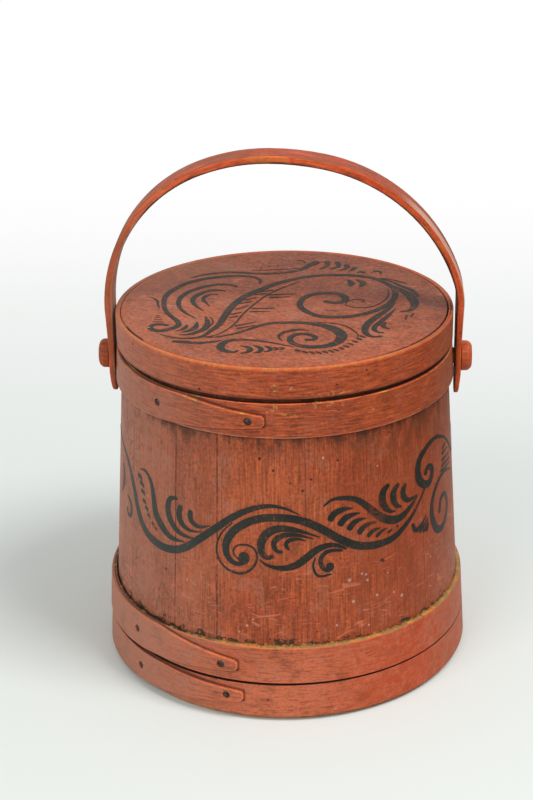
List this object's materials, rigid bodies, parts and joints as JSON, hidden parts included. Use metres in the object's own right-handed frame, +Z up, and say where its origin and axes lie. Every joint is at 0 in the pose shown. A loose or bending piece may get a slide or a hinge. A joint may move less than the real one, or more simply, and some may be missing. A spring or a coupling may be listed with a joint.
{
  "type": "sugar bucket",
  "caption": "Round tapered wooden bucket of staves and lapped hoops with a rimmed lift-off lid and a swinging bentwood handle, for keeping sugar or other dry food.",
  "frame": {"origin": "centre of the foot, on the surface that the bucket stands on", "axes": "+Z up, +X along the handle pegs towards the right-hand peg, -Y towards the front with the hoop laps"},
  "size_m": [0.2497, 0.2492, 0.3468],
  "materials": {
    "painted_staves": "worn matt brick-red paint, darker in the grain, with dark scroll ornament",
    "painted_hoops": "worn satin brick-red paint, rubbed orange along the edges",
    "painted_lid": "worn matt brick-red paint with dark scroll ornament, rubbed orange along the rim",
    "painted_handle": "satin red-brown paint, worn smooth",
    "painted_pegs": "satin red-brown paint",
    "bare_wood": "bare aged softwood",
    "iron_nails": "dull dark iron"
  },
  "bodies": {
    "bucket": {"stave_01": "painted_staves", "stave_02": "painted_staves", "stave_03": "painted_staves", "stave_04": "painted_staves", "stave_05": "painted_staves", "stave_06": "painted_staves", "stave_07": "painted_staves", "stave_08": "painted_staves", "stave_09": "painted_staves", "stave_10": "painted_staves", "stave_11": "painted_staves", "stave_12": "painted_staves", "stave_13": "painted_staves", "stave_14": "painted_staves", "stave_15": "painted_staves", "stave_16": "painted_staves", "bottom_board": "bare_wood", "base_hoop": "painted_hoops", "middle_hoop": "painted_hoops", "upper_hoop": "painted_hoops", "base_hoop_nails": "iron_nails", "middle_hoop_nails": "iron_nails", "upper_hoop_nails": "iron_nails", "handle_peg_left": "painted_pegs", "handle_peg_right": "painted_pegs"},
    "handle": {"handle": "painted_handle"},
    "lid": {"lid_board": "painted_lid", "lid_rim": "painted_lid", "lid_nails": "iron_nails"}
  },
  "joints": [
    {"name": "handle_swing", "type": "hinge", "parent": "bucket", "child": "handle", "pos_m": [0, 0, 0.2076], "axis": [1, 0, 0], "range_deg": [-117, 117]},
    {"name": "lid_lift", "type": "slide", "parent": "bucket", "child": "lid", "axis": [0, 0, 1], "range_m": [0, 0.014]}
  ]
}
